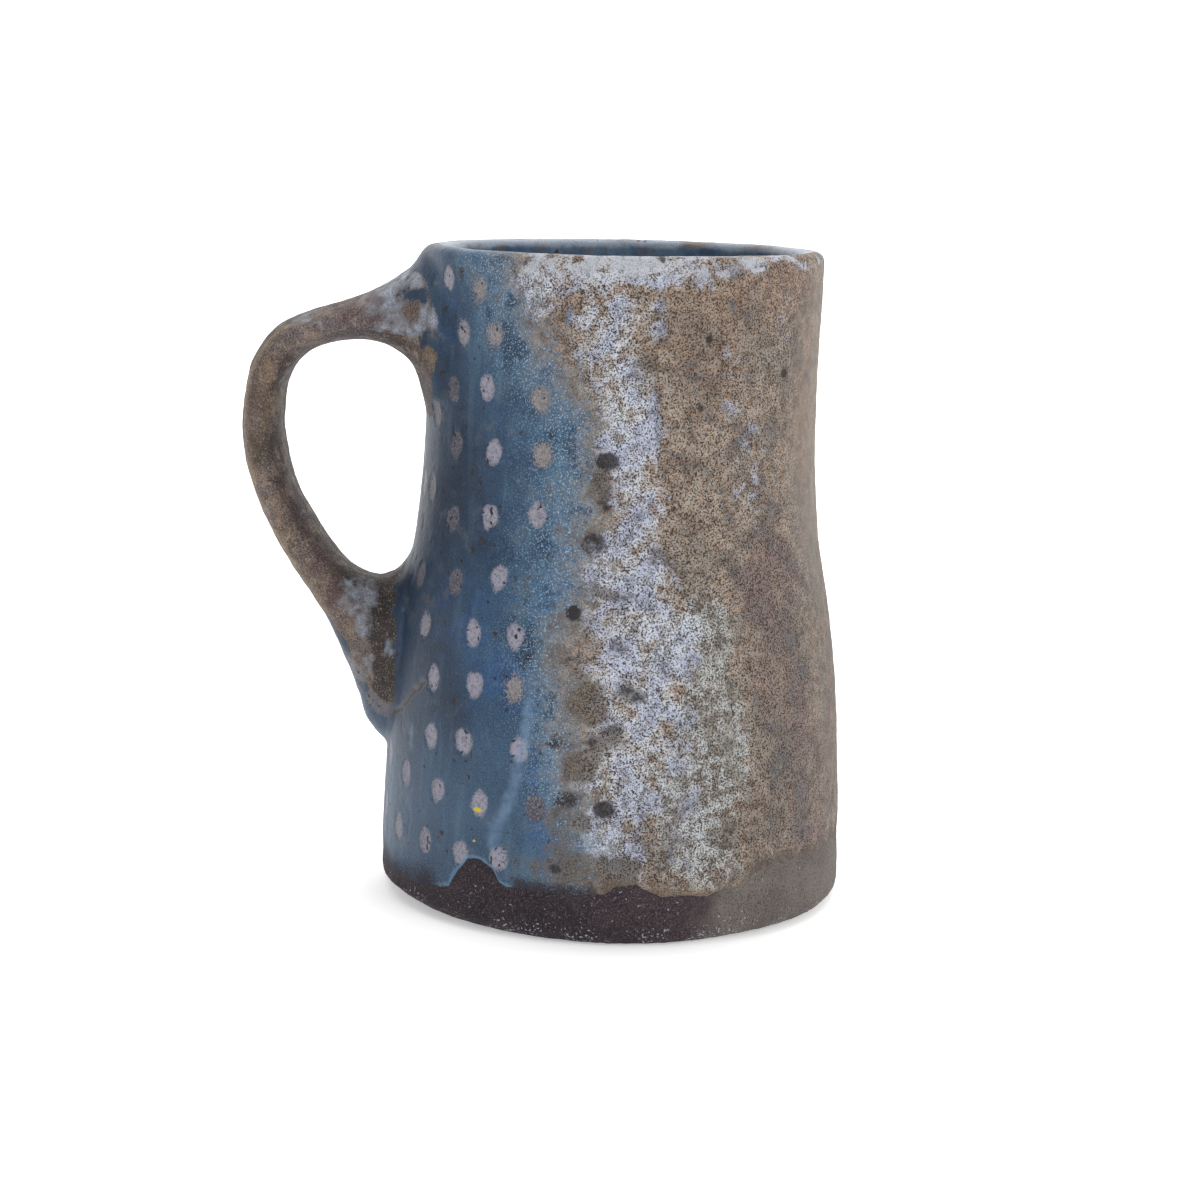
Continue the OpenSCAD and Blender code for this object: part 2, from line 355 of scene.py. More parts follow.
def line_field(azimuth, z, line, wander):
    """Millimetres from a line of points, which wanders to either side."""
    p = polar(azimuth, NOISE_R, z)
    first_az, first_z = line[0]
    x = round_to(azimuth, first_az) * DEGREE + wander * lumps(p, 1.7, 81)
    y = z - first_z + wander * lumps(p, 1.7, 82)
    flat = [((az - first_az) * DEGREE, height - first_z) for az, height in line]
    nearest = np.full(np.shape(azimuth), FAR)
    for (x_a, y_a), (x_b, y_b) in zip(flat, flat[1:]):
        along_x, along_y = x_b - x_a, y_b - y_a
        u = ((x - x_a) * along_x + (y - y_a) * along_y) / (along_x ** 2 + along_y ** 2)
        u = np.clip(u, 0, 1)
        nearest = np.minimum(nearest, np.hypot(x - x_a - u * along_x, y - y_a - u * along_y))
    return nearest


def patch_field(across, z, rows, edge=1.35):
    """Strength of one region, the soft union of its patches. across is an azimuth on the body
    and millimetres out from the axis on the handle."""
    clear = np.ones(np.shape(across))
    for patch_across, patch_z, half_w, half_h, strength in rows:
        away = np.hypot(round_to(across, patch_across) / half_w, (z - patch_z) / half_h)
        clear *= 1 - strength * smooth(away, edge, 0.45)
    return 1 - clear


def thin_field(azimuth, z):
    """Where the glaze thins out over the clay at its lower edge: by the handle and at the
    right, and a little on the left of the front."""
    turn, a = round_to(azimuth, 180), round_to(azimuth, 0)
    above = z - glaze_line(azimuth)
    wide = np.maximum(plateau(turn, -30, -8, 39, 50), plateau(a, -62, -48, 18, 26))
    narrow = plateau(a, -116, -111, -98, -88)
    return np.maximum(wide * smooth(above, 7.0, 0.5), narrow * smooth(above, 3.0, 0.2))


# ---- The body's shape ----

def foot_tuck(azimuth, z):
    """How far the foot draws in below the handle, less what it gains at the front."""
    left = smooth(np.abs(round_to(azimuth, 178)), 96, 50)
    front = smooth(np.abs(round_to(azimuth, -105)), 60, 25)
    return (1.8 * left - 1.1 * front) * np.clip(1 - z / 2.6, 0, 1) ** 0.8


def sway(azimuth, z):
    """Hand-built unevenness that every layer of the body shares."""
    p = polar(azimuth, NOISE_R, z)
    slow = lumps(p, 30, 1) + 0.45 * lumps(p, 13, 2)
    return -0.10 + 0.12 * slow - foot_tuck(azimuth, z)


def lip_drop(azimuth, z):
    """The lip wanders a little below its full height, most by the handle."""
    a = np.radians(azimuth)
    wave = 0.42 - 0.16 * np.cos(a) + 0.05 * np.sin(3 * a + 1) + 0.04 * np.sin(7 * a)
    return -wave * smooth(z, 85, 110)


def skin(azimuth, z):
    """Relief of the outside glaze: granular ash, smooth blue, sunk dots and pits."""
    p = polar(azimuth, outline(z), z)
    ash = smooth(from_blue_edge(azimuth, z), -4, 4)
    away, _ = dot_field(azimuth, z)
    grain = 0.5 * lumps(p, 2.4, 21) + 0.5 * lumps(p, 1.1, 22)
    relief = 0.035 * lumps(p, 5, 25) + (0.03 + 0.05 * ash) * grain
    relief = relief + 0.03 * ash * lumps(p, 0.7, 23)
    relief = relief - 0.15 * smooth(line_field(azimuth, z, SCAR, SCAR_WANDER), 0.9, 0.3)
    relief = relief - 0.11 * smooth(away, 0.35, -0.5) * (1 - 0.7 * ash)
    relief = relief + 0.03 * plateau(away, 0, 0.5, 0.5, 1.2)
    return relief - 0.10 * smooth(lumps(p, 1.7, 24), 0.62, 0.85)


# Middle of the lip's section, and how full it is: 1 would be a half round.
LIP_Z = MUG_H - GLAZE - WALL / 2
LIP_R = outline(LIP_Z) - GLAZE - WALL / 2
LIP_POWER = 0.75
# Where the coil's hollow is centred.
SEAM_TOP = FLOOR + SEAM_R
SEAM_AXIS = outline(SEAM_TOP) - GLAZE - WALL - SEAM_R


def levels(low, high, step):
    """Heights from low to high, about a step apart."""
    return np.linspace(low, high, int(round(abs(high - low) / step)) + 1)


def wall_path(offset, heights):
    """Radius, height and outward direction up the clay's outer face, moved out by offset."""
    r = outline(heights) - GLAZE + offset
    return np.stack([r, heights, np.ones_like(r), np.zeros_like(r)])


def lip_path(radius, from_deg, to_deg, count):
    """The same over the lip, 0 degrees outside and 90 on top."""
    a = np.radians(np.linspace(from_deg, to_deg, count))
    c, s = np.cos(a), np.sin(a)
    r = LIP_R + radius * signed_power(c, LIP_POWER)
    return np.stack([r, LIP_Z + radius * signed_power(s, LIP_POWER), c, s])


def bore_path(inset, heights):
    """The same down the wall's inner face, moved into the cup by inset."""
    r = outline(heights) - GLAZE - WALL - inset
    return np.stack([r, heights, -np.ones_like(r), np.zeros_like(r)])


def seam_path(inset, count):
    """The same down the coil's hollow and in along the floor."""
    a = np.radians(np.linspace(0, -90, count))
    c, s, radius = np.cos(a), np.sin(a), SEAM_R - inset
    curve = np.stack([SEAM_AXIS + radius * c, SEAM_TOP + radius * s, -c, -s])
    r = np.linspace(SEAM_AXIS, HOLE_R, 20)[1:]
    floor = np.stack([r, np.full_like(r, FLOOR + inset), np.zeros_like(r), np.ones_like(r)])
    return np.hstack([curve, floor])


def surface(path, azimuth, relief=0.0, shift=0.0):
    """Points (rows, columns, 3) of a path turned round the axis, with sway and lip drop.
    relief is how far each point stands out along the path's own direction."""
    r, z, out_r, out_z = (row[:, None] for row in path)
    azimuth = np.asarray(azimuth)[None, :]
    z = z + shift
    r = np.clip(r + sway(azimuth, z) * smooth(r, 4, 20) + out_r * relief, 0.05, WIDEST)
    z = z + lip_drop(azimuth, z) + out_z * relief
    return polar(azimuth, r, z)


# ---- Meshes ----

def grid_normals(points, wrap):
    """Unit normals of a grid of points, from its neighbours."""
    along = np.gradient(points, axis=0)
    if wrap:
        across = np.roll(points, -1, axis=1) - np.roll(points, 1, axis=1)
    else:
        across = np.gradient(points, axis=1)
    n = np.cross(across, along)
    return n / np.maximum(np.linalg.norm(n, axis=-1, keepdims=True), 1e-12)


def strip(first, second, wrap):
    """Quads between two rows of vertex numbers of the same length."""
    count = len(first) if wrap else len(first) - 1
    pairs = [(i, (i + 1) % len(first)) for i in range(count)]
    return [(first[i], first[j], second[j], second[i]) for i, j in pairs]


def fan(ring, middle):
    """Triangles from a closed row of vertex numbers to one in its middle."""
    return [(middle, ring[(i + 1) % len(ring)], ring[i]) for i in range(len(ring))]


def turned(faces):
    """The same faces, facing the other way."""
    return [face[::-1] for face in faces]


def zip_rows(first, second):
    """Triangles between two rows of vertex numbers of different lengths."""
    faces, i, j = [], 0, 0
    while i < len(first) - 1 or j < len(second) - 1:
        step_i = (i + 1) / max(len(first) - 1, 1)
        step_j = (j + 1) / max(len(second) - 1, 1)
        if i < len(first) - 1 and (j == len(second) - 1 or step_i <= step_j):
            faces.append((first[i], first[i + 1], second[j]))
            i += 1
        else:
            faces.append((first[i], second[j + 1], second[j]))
            j += 1
    return faces


def grid_faces(index, wrap):
    """Quads of a grid of vertex numbers (rows, columns)."""
    return [face for low, high in zip(index[:-1], index[1:]) for face in strip(low, high, wrap)]


def make_object(name, points, faces, normals=None, values=None):
    """A mesh object from points in millimetres. normals and values cover the first points."""
    mesh = bpy.data.meshes.new(name)
    mesh.from_pydata((np.asarray(points) * MM).tolist(), [], faces)
    mesh.validate()
    for key, data in (values or {}).items():
        full = np.zeros(len(points))
        full[:data.size] = data.ravel()
        mesh.attributes.new(key, "FLOAT", "POINT").data.foreach_set("value", full)
    mesh.shade_smooth()
    if normals is not None:
        known = normals.reshape(-1, 3)
        full = np.zeros((len(points), 3))
        full[:len(known)] = known
        mesh.normals_split_custom_set_from_vertices(full.tolist())
    piece = bpy.data.objects.new(name, mesh)
    bpy.context.scene.collection.objects.link(piece)
    return piece


def two_sides(face, back, wrap):
    """Vertex numbers of a face and of a back with the same columns, and the quads on both and
    between their first rows."""
    rows, columns = face.shape[:2]
    index = np.arange(rows * columns).reshape(rows, columns)
    under = np.arange(back.shape[0] * columns).reshape(-1, columns) + rows * columns
    faces = grid_faces(index, wrap) + grid_faces(under[::-1], wrap)
    return index, under, faces + strip(under[0], index[0], wrap)


def shell(name, face, back, wrap, normals, values):
    """A closed shell of a fine face and a coarse back, both (rows, columns, 3)."""
    index, under, faces = two_sides(face, back, wrap)
    faces += strip(index[-1], under[-1], wrap)
    if not wrap:
        faces += zip_rows(index[:, 0], under[:, 0])
        faces += turned(zip_rows(index[:, -1], under[:, -1]))
    points = np.vstack([face.reshape(-1, 3), back.reshape(-1, 3)])
    return make_object(name, points, faces, normals, values)


def solid(name, points, normals, values):
    """A closed solid of rings (rings, columns, 3), ended by fans to the end rings' middles."""
    rings, columns = points.shape[:2]
    index = np.arange(rings * columns).reshape(rings, columns)
    faces = grid_faces(index, True) + fan(index[0], index.size)
    faces += turned(fan(index[-1], index.size + 1))
    ends = np.stack([points[0].mean(axis=0), points[-1].mean(axis=0)])
    flat = np.vstack([points.reshape(-1, 3), ends])
    return make_object(name, flat, faces, normals, values)


# ---- Outside coats ----

def glaze_values(azimuth, z):
    """The masks that the glaze materials read, for points by azimuth and height."""
    p = polar(azimuth, NOISE_R, z)
    around = azimuth + 1.6 * lumps(p, 4.5, 31)
    height = z + 1.6 * lumps(p, 4.5, 32)
    values = {key: patch_field(around, height, rows) for key, rows in PATCHES.items()}
    panel_end = -59 + (40 - z) * 0.12
    past_panel = smooth(azimuth, panel_end, panel_end + 1.5) * (azimuth < 0)
    values["panel"] = values["panel"] * (1 - past_panel)
    run = smooth(line_field(azimuth, z, RUN, RUN_WANDER), 2.3, 0.0)
    values["streak"] = np.maximum(values["streak"], run)
    values["ash"] = np.clip(from_blue_edge(azimuth, z), -40, 40)
    values["dot"], values["tone"] = dot_field(azimuth, z)
    values["spot"] = spot_field(azimuth, z, SPOTS)
    values["fleck"] = spot_field(azimuth, z, FLECKS)
    # Rim: by the lip, where the lace turns paler and smoother, partly thin glaze and partly a
    # painted highlight.
    values["rim"] = smooth(z, 105.0, 108.5)
    values["scar"] = line_field(azimuth, z, SCAR, SCAR_WANDER)
    values["thin"] = thin_field(azimuth, z)
    values["edge"] = np.clip(z - glaze_line(azimuth), 0, 20)
    return values


def coat_path(azimuth, offset, heights, lip_from, lip_rows):
    """The coat's path up the wall and over the lip, and the shift that moves its lowest rows
    to the glaze line, less and less higher up."""
    path = [wall_path(offset, heights), lip_path(WALL / 2 + offset, lip_from, 90, lip_rows)]
    felt = smooth(heights, COAT_BASE + SHIFT_REACH, COAT_BASE)[:, None]
    shift = [(glaze_line(azimuth)[None, :] - COAT_BASE) * felt, np.zeros((lip_rows, len(azimuth)))]
    return np.hstack(path), np.vstack(shift)


def coat_grid():
    """Azimuths, points, normals and heights of the whole outside coat, one grid all round."""
    azimuth = 180 - BLUE_HALF + np.arange(COLUMNS) * 360 / COLUMNS
    low = COAT_BASE + np.array([0, 0.12, 0.3, 0.55, 0.9, 1.3, 1.75])
    heights = np.hstack([low, levels(2.25 + COAT_BASE, LIP_Z, 0.48)[:-1]])
    path, shift = coat_path(azimuth, 0.0, heights, 0, 9)
    z = path[1][:, None] + shift
    a = np.broadcast_to(azimuth, z.shape)
    line = glaze_line(a)
    near = np.clip(z - line, 0, 9)
    soft = thin_field(a, line + 0.5)
    bead = 1 + 0.5 * np.exp(-((near - 1.3) / 0.8) ** 2) * (1 - soft)
    thick = GLAZE * bead * np.sqrt(smooth(near, -0.2, 1.3 + 5 * soft)) - COAT_SINK * (near < 0.01)
    points = surface(path, azimuth, thick + skin(a, z) * smooth(near, 0, 1.0), shift)
    return azimuth, points, grid_normals(points, True), z


def coat_back(azimuth):
    """The coat's back, just inside the clay's surface."""
    path, shift = coat_path(azimuth, -COAT_SINK, levels(COAT_BASE, LIP_Z, 9.0), 30, 3)
    return surface(path, azimuth, shift=shift)


def make_coats():
    """The blue and the ash coat, cut from one grid so that their faces meet exactly."""
    azimuth, points, normals, z = coat_grid()
    split = int(2 * BLUE_HALF * COLUMNS / 360)
    parts = {
        "blue_coat": np.arange(split + 1),
        "ash_coat": np.arange(split, COLUMNS + 1) % COLUMNS,
    }
    made = []
    for name, columns in parts.items():
        a, height = azimuth[columns], z[:, columns]
        values = glaze_values(np.broadcast_to(a, height.shape), height)
        made.append(shell(name, points[:, columns], coat_back(a), False,
                          normals[:, columns], values))
    return made


# ---- Clay and liner ----

def clay_relief(azimuth, z):
    """Relief of the bare clay: sanded grain and a few pits."""
    p = polar(azimuth, FOOT_R, z)
    pits = smooth(lumps(p, 1.3, 44), 0.6, 0.85)
    return 0.05 * lumps(p, 2.6, 41) + 0.05 * lumps(p, 1.0, 42) - 0.10 * pits


def foot_outline():
    """Path from the middle of the underside, round the bottom edge, to the floor's top."""
    centre = outline(FOOT_ROUND) - GLAZE - FOOT_ROUND
    r = np.linspace(HOLE_R, centre, 16)
    under = np.stack([r, np.zeros_like(r), np.zeros_like(r), -np.ones_like(r)])
    a = np.radians(np.linspace(-90, 0, 13)[1:])
    c, s = np.cos(a), np.sin(a)
    edge = np.stack([centre + FOOT_ROUND * c, FOOT_ROUND * (1 + s), c, s])
    return np.hstack([under, edge, wall_path(0.0, np.array([4.0, 4.5, 5.0, FLOOR]))])


def clay_grid(azimuth):
    """Points, normals and paleness of the clay that shows: the underside, a little hollow, the
    foot, fuller on the right, and the wall up to the highest arch of the glaze line."""
    path = np.hstack([foot_outline(), wall_path(0.0, levels(FLOOR, CLAY_TOP, 0.45)[1:])])
    r, z, out_r, out_z = (row[:, None] for row in path)
    turn = np.broadcast_to(round_to(azimuth, 0), (path.shape[1], len(azimuth)))
    relief = clay_relief(turn, z) * smooth(r, 2, 12) - 0.12 * (out_z < -0.5)
    relief = relief + 0.35 * plateau(turn, -70, -50, 20, 40) * (out_r > 0.7)
    points = surface(path, azimuth, relief)
    points[..., 2] = np.maximum(points[..., 2], 0.0)
    pale = plateau(turn, -80, -52, 20, 50) + 0.5 * smooth(turn, 100, 130)
    return points, grid_normals(points, True), pale


def make_clay(azimuth):
    """The floor disc, and the wall: fine under the glaze line and coarse behind the glaze."""
    points, normals, pale = clay_grid(azimuth)
    rows = foot_outline().shape[1]
    top = surface(np.array([[30.0], [FLOOR], [0.0], [1.0]]), azimuth)
    foot = solid("foot_disc", np.vstack([points[:rows], top]), normals[:rows],
                 {"pale": pale[:rows]})
    first, lip_radius = rows - 1, WALL / 2 - CLAY_SINK
    outer = wall_path(-CLAY_SINK, levels(CLAY_TOP, LIP_Z, 4.0)[1:])
    outer = np.hstack([outer, lip_path(lip_radius, 15, 90, 6)])
    inner = bore_path(0.0, levels(FLOOR, LIP_Z, 6.0))
    inner = np.hstack([inner, lip_path(lip_radius, 165, 90, 6)])
    face = np.vstack([points[first:], surface(outer, azimuth)])
    wall = shell("clay_wall", face, surface(inner, azimuth), True, normals[first:],
                 {"pale": pale[first:]})
    return foot, wall


def liner_path(inset, step, count):
    """The liner's path: over the lip, down the wall, round the coil and across the floor."""
    return np.hstack([
        lip_path(WALL / 2 + inset, 84, 180, count)[:, :-1],
        bore_path(inset, levels(LIP_Z, SEAM_TOP, step)[:-1]),
        seam_path(inset, count),
    ])


def make_liner(azimuth):
    """The inside glaze, a shell closed by fans in the middle of the floor."""
    path = liner_path(GLAZE, 0.7, 14)
    z = np.broadcast_to(path[1][:, None], (path.shape[1], len(azimuth)))
    a = np.broadcast_to(azimuth, z.shape)
    p = polar(a, path[0][:, None], z)
    relief = 0.06 * lumps(p, 5, 51) + 0.03 * lumps(p, 1.4, 52)
    relief = relief - 0.08 * smooth(lumps(p, 1.6, 53), 0.6, 0.85)
    outwards = (path[2] > 0.001)[:, None]
    face = surface(path, azimuth, np.where(outwards, -COAT_SINK, relief))
    back = surface(liner_path(-0.03, 8.0, 5), azimuth)
    values = glaze_values(a, z)
    values["lip"] = smooth(z, LIP_Z - 0.5, LIP_Z + 1.8)
    index, under, faces = two_sides(face, back, True)
    middle = index.size + under.size
    faces += turned(fan(index[-1], middle)) + fan(under[-1], middle + 1)
    ends = np.stack([face[-1].mean(axis=0), back[-1].mean(axis=0)])
    points = np.vstack([face.reshape(-1, 3), back.reshape(-1, 3), ends])
    return make_object("liner", points, faces, grid_normals(face, True), values)


# ---- Handle ----

# Columns round the handle, rings along its three pieces, and how full its oval section is.
AROUND = 128
UPPER_RINGS, STRAP_RINGS, LOWER_RINGS = 64, 170, 96
FULLNESS = 2.5


def station(t):
    """The stations' smooth curve at places t, which may lie between two of them."""
    last = len(STATIONS) - 1
    t = np.asarray(t, dtype=float)
    i = np.clip(np.floor(t).astype(int), 0, last - 1)
    u = (t - i)[..., None]
    p, q = STATIONS[i], STATIONS[i + 1]
    before, after = STATIONS[np.maximum(i - 1, 0)], STATIONS[np.minimum(i + 2, last)]
    return cubic(p, q, (q - before) / 2, (after - p) / 2, 1, u)


def handle_point(t, turn):
    """Points on the handle's plain surface, by place along it and turn round its section."""
    outer_x, outer_z, inner_x, inner_z, half = np.moveaxis(station(t), -1, 0)
    c = signed_power(np.cos(turn), 2 / FULLNESS)
    s = signed_power(np.sin(turn), 2 / FULLNESS)
    x = -(WAIST_R + (outer_x + inner_x) / 2 + (outer_x - inner_x) / 2 * c)
    z = (outer_z + inner_z) / 2 + (outer_z - inner_z) / 2 * c
    return np.stack([x, half * s, z], axis=-1)


def body_polar(points):
    """Azimuth, radius and height of points."""
    x, y, z = np.moveaxis(points, -1, 0)
    return np.degrees(np.arctan2(y, x)), np.hypot(x, y), z


def wall_radius(azimuth, z):
    """Radius of the outside coat's face below the lip."""
    return outline(z) + sway(azimuth, z) + skin(azimuth, z)


def wall_normal(azimuth, z, tilt):
    """Direction out of the outside coat, tilted upwards over the lip."""
    low, step = np.minimum(z, LIP_Z), 0.3
    r = wall_radius(azimuth, low)
    turn = math.degrees(step / MEAN_R)
    rise = (r - wall_radius(azimuth, low - step)) / step
    sweep = (wall_radius(azimuth + turn, low) - r) / step
    a = np.radians(azimuth)
    across = np.stack([-np.sin(a), np.cos(a), np.zeros_like(a)], axis=-1)
    out = np.stack([np.cos(a) * np.cos(tilt), np.sin(a) * np.cos(tilt), np.sin(tilt)], axis=-1)
    out = out - across * sweep[..., None]
    out[..., 2] -= rise * np.cos(tilt)
    return out / np.linalg.norm(out, axis=-1, keepdims=True)


def above_wall(points):
    """How far points stand out from the outside coat, and the direction out of it."""
    azimuth, r, z = body_polar(points)
    wall = wall_radius(azimuth, np.minimum(z, LIP_Z))
    half = WALL / 2 + GLAZE
    over_r, over_z = r - (wall - half), z - LIP_Z - lip_drop(azimuth, z)
    top = over_z > 0
    tilt = np.where(top, np.arctan2(over_z, over_r), 0.0)
    power = 2 / LIP_POWER
    round_lip = (np.abs(over_r) ** power + np.abs(over_z) ** power) ** (1 / power)
    away = np.where(top, round_lip - half, r - wall)
    return away, wall_normal(azimuth, z, tilt)


def root_places(end, start, count, turns, sink=0.35):
    """For each line along the root, the places from the strap's joint to just in the wall."""
    probe = np.linspace(start, end, 241)
    t, turn = np.meshgrid(probe, turns, indexing="ij")
    away, _ = above_wall(handle_point(t, turn))
    inside = away < -sink
    last = np.where(inside.any(axis=0), inside.argmax(axis=0), away.argmin(axis=0))
    steps = 1 - (1 - np.linspace(0, 1, count)[:, None]) ** 1.5
    return start + (probe[last] - start)[None, :] * steps


def flare(points, normals, reach):
    """Spreads a root over the wall in a fillet of the given reach, as one smooth skin."""
    away, out = above_wall(points)
    sideways = normals - (normals * out).sum(axis=-1, keepdims=True) * out
    sideways /= np.maximum(np.linalg.norm(sideways, axis=-1, keepdims=True), 0.2)
    u = np.clip(1 - away / reach, 0, 1)
    spread = reach * (1 - np.sqrt(np.maximum(1 - u * u, 0)))
    moved = points + sideways * spread[..., None]
    lifted, out = above_wall(moved)
    return moved + out * (np.minimum(away, lifted) - lifted)[..., None]


def handle_grid():
    """Points and shading normals of the whole handle, rings by turns, and how far each point
    lies towards its outer edge."""
    turns = np.arange(AROUND) * 2 * math.pi / AROUND
    strap = np.linspace(STRAP_TOP, STRAP_END, STRAP_RINGS)[:, None] * np.ones(AROUND)
    upper = root_places(0.0, STRAP_TOP, UPPER_RINGS, turns)[::-1]
    lower = root_places(len(STATIONS) - 1.0, STRAP_END, LOWER_RINGS, turns)
    places = np.vstack([upper, strap[1:-1], lower])
    turns = np.broadcast_to(turns, places.shape)
    points = handle_point(places, turns)
    normals = grid_normals(points, True)
    top, low = slice(0, UPPER_RINGS), slice(-LOWER_RINGS, None)
    reach = 0.8 + 2.4 * smooth(normals[top][..., 2], 0.8, 0.1)
    points[top] = flare(points[top], normals[top], reach)
    reach = 1.0 + 1.8 * smooth(normals[low][..., 0], -0.5, 0.3)
    points[low] = flare(points[low], normals[low], reach)
    away, out = above_wall(points)
    rough = 0.16 * lumps(points, 9, 61) + 0.10 * lumps(points, 3, 62)
    rough = rough + 0.07 * lumps(points, 1.3, 63) - 0.35
    points = points + normals * (rough * smooth(away, 0.3, 3.0))[..., None]
    near = smooth(away, 0.8, 0.0)[..., None]
    shade = grid_normals(points, True) * (1 - near) + out * near
    shade /= np.linalg.norm(shade, axis=-1, keepdims=True)
    return points, shade, np.cos(turns)


def handle_values(points, across):
    """Masks of a handle piece: the wall's own, and those of the dry crust further out."""
    azimuth, _, z = body_polar(points)
    values = glaze_values(azimuth, np.clip(z, 4, 109.5))
    place = -points[..., 0] + 1.3 * lumps(points, 3.5, 71) + 0.5 * lumps(points, 1.3, 73)
    height = z + 1.2 * lumps(points, 3.5, 72)
    for key, rows in HANDLE_PATCHES.items():
        values[key] = patch_field(place, height, rows, 1.3)
    upper = smooth(height, 102, 99) * smooth(place, 32.3, 34.0)
    upper = np.maximum(upper, smooth(height, 93.5, 91.5) * smooth(place, 30.0, 32.0))
    upper = np.maximum(upper, smooth(place, 35.5, 38.5))
    blue_tip = smooth(place - 40.5 - (height - 34) * 0.65, -0.6, 1.4) * smooth(height, 54, 44)
    lower = smooth(place, 36.2, 37.2) * smooth(height, 32.0, 34.5) * (1 - blue_tip)
    values["grip"] = np.where(z > 68, upper, lower)
    values["across"] = across
    return values


def make_handle():
    """Both roots and the strap, cut from one grid."""
    points, normals, across = handle_grid()
    first, second = UPPER_RINGS - 1, UPPER_RINGS + STRAP_RINGS - 2
    parts = {
        "upper_root": slice(0, first + 1),
        "strap": slice(first, second + 1),
        "lower_root": slice(second, len(points)),
    }
    return [solid(name, points[rows], normals[rows], handle_values(points[rows], across[rows]))
            for name, rows in parts.items()]


# ---- Materials ----

def srgb(*rgb):
    """Linear colour from 0-255 sRGB values."""
    def linear(c):
        c /= 255
        return c / 12.92 if c <= 0.04045 else ((c + 0.055) / 1.055) ** 2.4
    return (*(linear(c) for c in rgb), 1.0)


class Graph:
    """Builds a node material in short calls. Values are sockets or plain numbers and colours.

    All materials share its noises: grain, hue, mottle, blot and cloud, from fine to coarse.
    pore is the grain again, with more dark holes in some places than in others."""

    def __init__(self, name):
        self.material = bpy.data.materials.new(name)
        self.material.use_nodes = True
        self.tree = self.material.node_tree
        self.shader = self.tree.nodes["Principled BSDF"]
        self.place = self.tree.nodes.new("ShaderNodeTexCoord").outputs["Object"]
        self.grain = self.noise(0.27, 2, 0.7)
        self.hue = self.noise(0.6, 2, 0.6)
        self.mottle = self.noise(1.9, 3, 0.6, 0.4)
        self.pore = self.add(self.grain, self.swing(self.mottle, 0.16))
        self.blot = self.noise(4.2, 3, 0.6)
        self.cloud = self.noise(15, 3, 0.6)

    def node(self, kind, **settings):
        made = self.tree.nodes.new("ShaderNode" + kind)
        for key, value in settings.items():
            setattr(made, key, value)
        return made

    def put(self, socket, value):
        if isinstance(value, bpy.types.NodeSocket):
            self.tree.links.new(value, socket)
        else:
            socket.default_value = value

    def mask(self, name):
        return self.node("Attribute", attribute_name=name).outputs["Fac"]

    def math(self, operation, a, b=0.0):
        made = self.node("Math", operation=operation)
        self.put(made.inputs[0], a)
        self.put(made.inputs[1], b)
        return made.outputs[0]

    def add(self, a, b):
        return self.math("ADD", a, b)

    def times(self, a, b):
        return self.math("MULTIPLY", a, b)

    def flip(self, a):
        return self.math("SUBTRACT", 1.0, a)

    def most(self, a, b):
        return self.math("MAXIMUM", a, b)

    def band(self, value, low, high):
        """0 below low, 1 above high; low may be the greater."""
        made = self.node("MapRange", interpolation_type="SMOOTHSTEP")
        for socket, v in zip(made.inputs, (value, low, high)):
            self.put(socket, v)
        return made.outputs[0]

    def noise(self, size, detail=2.0, rough=0.5, twist=0.0, upright=None):
        """Noise with features about size millimetres across, from 0 to 1. upright, below 1,
        draws them out downwards."""
        made = self.node("TexNoise")
        place = self.place
        if upright:
            scaled = self.node("Mapping")
            self.put(scaled.inputs["Vector"], place)
            scaled.inputs["Scale"].default_value = (1, 1, upright)
            place = scaled.outputs[0]
        self.put(made.inputs["Vector"], place)
        self.put(made.inputs["Scale"], 1 / (size * MM))
        self.put(made.inputs["Detail"], detail)
        self.put(made.inputs["Roughness"], rough)
        self.put(made.inputs["Distortion"], twist)
        return made.outputs[0]

    def height(self):
        """Height above the foot, in metres."""
        made = self.node("SeparateXYZ")
        self.put(made.inputs[0], self.place)
        return made.outputs["Z"]

    def mix(self, amount, a, b):
        """From colour a to colour b. The node's colour sockets come after those for numbers."""
        made = self.node("Mix", data_type="RGBA")
        self.put(made.inputs["Factor"], amount)
        self.put(made.inputs[6], a)
        self.put(made.inputs[7], b)
        return made.outputs[2]

    def blend(self, amount, a, b):
        """The same for plain numbers."""
        made = self.node("Mix", data_type="FLOAT")
        self.put(made.inputs["Factor"], amount)
        self.put(made.inputs[2], a)
        self.put(made.inputs[3], b)
        return made.outputs[0]

    def swing(self, noise, amount):
        """A noise about its middle, scaled."""
        return self.times(self.add(noise, -0.5), amount)

    def ragged(self, name, blot, grain, hue=0.0):
        """A mask made uneven by the shared noises."""
        value = self.add(self.mask(name), self.swing(self.blot, blot))
        value = self.add(value, self.swing(self.grain, grain))
        return self.add(value, self.swing(self.hue, hue)) if hue else value

    def ramp(self, value, low, high, first, second):
        """From one sRGB colour to another, as a value goes from low to high."""
        return self.mix(self.band(value, low, high), srgb(*first), srgb(*second))

    def cover(self, colour, mask, amount, rgb):
        """A colour with an sRGB one over it, by a mask and an amount."""
        return self.mix(self.times(mask, amount), colour, srgb(*rgb))

    def wash(self, colour, *layers):
        """A colour with layers over it: where a value goes from low to high, by an amount."""
        for value, low, high, amount, rgb in layers:
            colour = self.cover(colour, self.band(value, low, high), amount, rgb)
        return colour

    def pitted(self, colour, low, high, rgb):
        """A colour with darker pores."""
        return self.mix(self.band(self.pore, low, high), srgb(*rgb), colour)

    def peppered(self, colour):
        """A colour with dark grains."""
        return self.wash(colour, (self.grain, 0.5, 0.64, 0.65, (36, 30, 33)))

